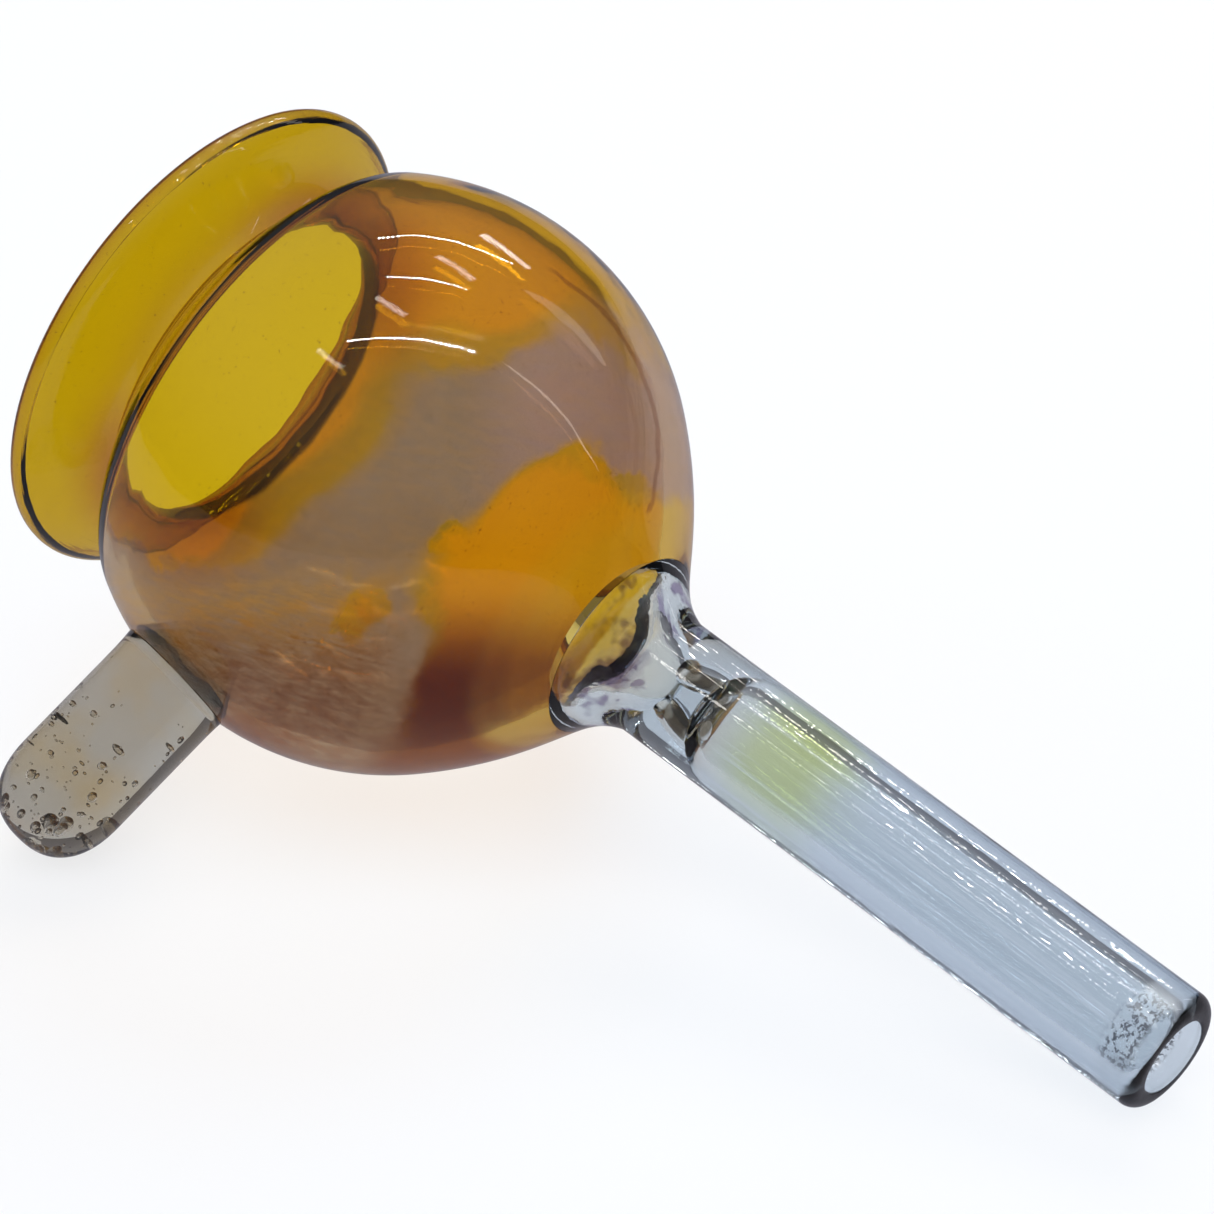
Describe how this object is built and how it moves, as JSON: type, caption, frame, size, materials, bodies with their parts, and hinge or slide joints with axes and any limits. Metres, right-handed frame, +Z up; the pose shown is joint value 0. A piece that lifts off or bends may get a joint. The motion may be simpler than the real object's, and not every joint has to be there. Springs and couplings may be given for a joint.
{
  "type": "blown glass funnel bowl",
  "caption": "Hollow amber glass bulb with a flared open mouth, a clear pinched throat leading into a straight clear tube stem, and a solid clear side handle.",
  "frame": {"origin": "middle of the footprint, on the table, with the part lying as it rests on its bulb, stem end and handle end", "axes": "+X along the stem seen from above, towards the stem's free end; +Z up; the handle points towards -Y and down"},
  "size_m": [0.1054, 0.059, 0.0495],
  "materials": {
    "amber_glass": "fire polished",
    "fumed_amber_glass": "fire polished, cloudy metallic haze",
    "clear_glass": "fire polished",
    "seeded_clear_glass": "fire polished, full of small seed bubbles"
  },
  "bodies": {
    "root": {"rim_bead": "amber_glass", "flared_mouth": "amber_glass", "bulb_shell": "fumed_amber_glass", "joint_collar": "clear_glass", "throat_funnel": "clear_glass", "pinch_plate": "clear_glass", "stem_tube": "clear_glass", "handle_weld": "seeded_clear_glass", "handle_rod": "seeded_clear_glass"}
  },
  "joints": []
}
